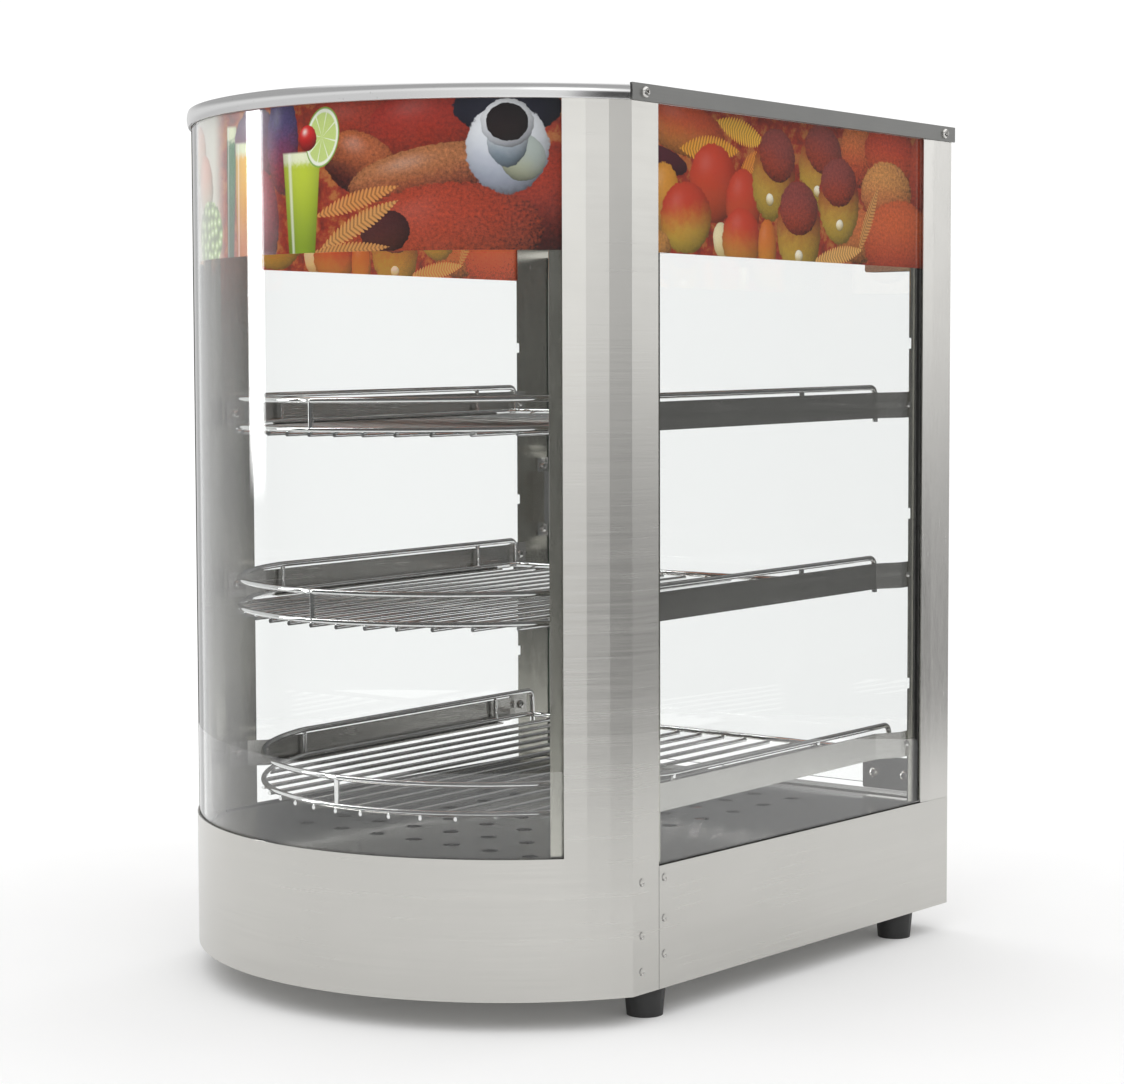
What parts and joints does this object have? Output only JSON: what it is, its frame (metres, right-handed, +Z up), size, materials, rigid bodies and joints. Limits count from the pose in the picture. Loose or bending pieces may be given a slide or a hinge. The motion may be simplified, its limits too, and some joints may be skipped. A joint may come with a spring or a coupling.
{
  "type": "hot food display case",
  "caption": "Countertop heated display case: curved glass front, flat glass sides, wire racks on tilted ledges, hinged rear glass door, steel base with controls.",
  "frame": {"origin": "on the surface the case stands on, under the middle of its whole plan, handle and trim included", "axes": "+Z up, -Y towards the customer and the curved glass, +Y out of the back where the door and the controls are, +X towards the hinge side of the door"},
  "size_m": [0.408, 0.5298, 0.61],
  "materials": {
    "satin_steel": "vertical brushed grain, satin",
    "shelf_steel": "satin",
    "polished_deck": "polished",
    "cover_steel": "satin along its length",
    "polished_trim": "mirror polished",
    "chrome_wire": "bright plated wire",
    "chrome_fittings": "bright plated",
    "screw_steel": "bright",
    "clear_glass": "clear, polished edges",
    "printed_band": "printed film behind the glass",
    "black_rubber": "matt moulded",
    "gasket_rubber": "matt",
    "black_plastic": "fine moulded texture",
    "rocker_plastic": "gloss",
    "white_nylon": "moulded",
    "magnet": "ground",
    "pilot_lens": "translucent look",
    "lamp_glass": "frosted",
    "heater_sheath": "oxidised sheath",
    "shaft_steel": "turned"
  },
  "bodies": {
    "cabinet": {"bottom_plate": "satin_steel", "cable_gland": "black_plastic", "catch_body": "chrome_fittings", "catch_magnet": "magnet", "deck": "polished_deck", "feet": "black_rubber", "foot_screws": "screw_steel", "front_glass": "clear_glass", "front_post_left": "satin_steel", "front_post_right": "satin_steel", "front_shell": "satin_steel", "glass_gaskets": "gasket_rubber", "heater_clips": "satin_steel", "heater_element": "heater_sheath", "hinge_bushes": "white_nylon", "lamp_holder": "satin_steel", "lamp_tube": "lamp_glass", "pilot_lamp": "pilot_lens", "post_screws": "screw_steel", "print_front": "printed_band", "print_left": "printed_band", "print_right": "printed_band", "rack_strip_bottom_left": "shelf_steel", "rack_strip_bottom_right": "shelf_steel", "rack_strip_middle_left": "shelf_steel", "rack_strip_middle_right": "shelf_steel", "rack_strip_top_left": "shelf_steel", "rack_strip_top_right": "shelf_steel", "rail_screws": "screw_steel", "rear_control_panel": "satin_steel", "rear_header": "satin_steel", "rear_inner_post_left": "satin_steel", "rear_inner_post_right": "satin_steel", "rear_post_left": "satin_steel", "rear_post_right": "satin_steel", "side_glass_left": "clear_glass", "side_glass_right": "clear_glass", "side_panel_left": "satin_steel", "side_panel_right": "satin_steel", "switch_housings": "black_plastic", "terminal_block": "white_nylon", "thermostat_body": "white_nylon", "top_cover": "cover_steel", "top_rail_left": "cover_steel", "top_rail_right": "cover_steel", "top_trim": "polished_trim"},
    "door": {"door_glass": "clear_glass", "hinge_clamp_lower": "chrome_fittings", "hinge_clamp_upper": "chrome_fittings", "door_screws": "screw_steel", "hinge_pins": "chrome_fittings", "door_handle": "chrome_fittings", "door_strike": "chrome_fittings"},
    "knob": {"thermostat_knob": "black_plastic", "thermostat_shaft": "shaft_steel"},
    "power_switch": {"power_rocker": "rocker_plastic"},
    "light_switch": {"light_rocker": "rocker_plastic"},
    "top_rack": {"rack_top": "chrome_wire"},
    "middle_rack": {"rack_middle": "chrome_wire"},
    "bottom_rack": {"rack_bottom": "chrome_wire"}
  },
  "joints": [
    {"name": "door_hinge", "type": "hinge", "parent": "cabinet", "child": "door", "pos_m": [0.18, 0.2324, 0.3158], "axis": [0, 0, -1], "range_deg": [0, 105]},
    {"name": "thermostat_turn", "type": "hinge", "parent": "cabinet", "child": "knob", "pos_m": [0.095, 0.24, 0.062], "axis": [0, -1, 0], "range_deg": [0, 270]},
    {"name": "power_rock", "type": "hinge", "parent": "cabinet", "child": "power_switch", "pos_m": [0.03, 0.2409, 0.062], "axis": [1, 0, 0], "range_deg": [0, 18]},
    {"name": "light_rock", "type": "hinge", "parent": "cabinet", "child": "light_switch", "pos_m": [-0.01, 0.2409, 0.062], "axis": [1, 0, 0], "range_deg": [0, 18]},
    {"name": "top_rack_slide", "type": "slide", "parent": "cabinet", "child": "top_rack", "axis": [0, 0.9998, 0.0175], "range_m": [-0.012, 0.05]},
    {"name": "middle_rack_slide", "type": "slide", "parent": "cabinet", "child": "middle_rack", "axis": [0, 0.9998, 0.0175], "range_m": [-0.012, 0.05]},
    {"name": "bottom_rack_slide", "type": "slide", "parent": "cabinet", "child": "bottom_rack", "axis": [0, 0.9998, 0.0175], "range_m": [-0.036, 0.029]}
  ]
}
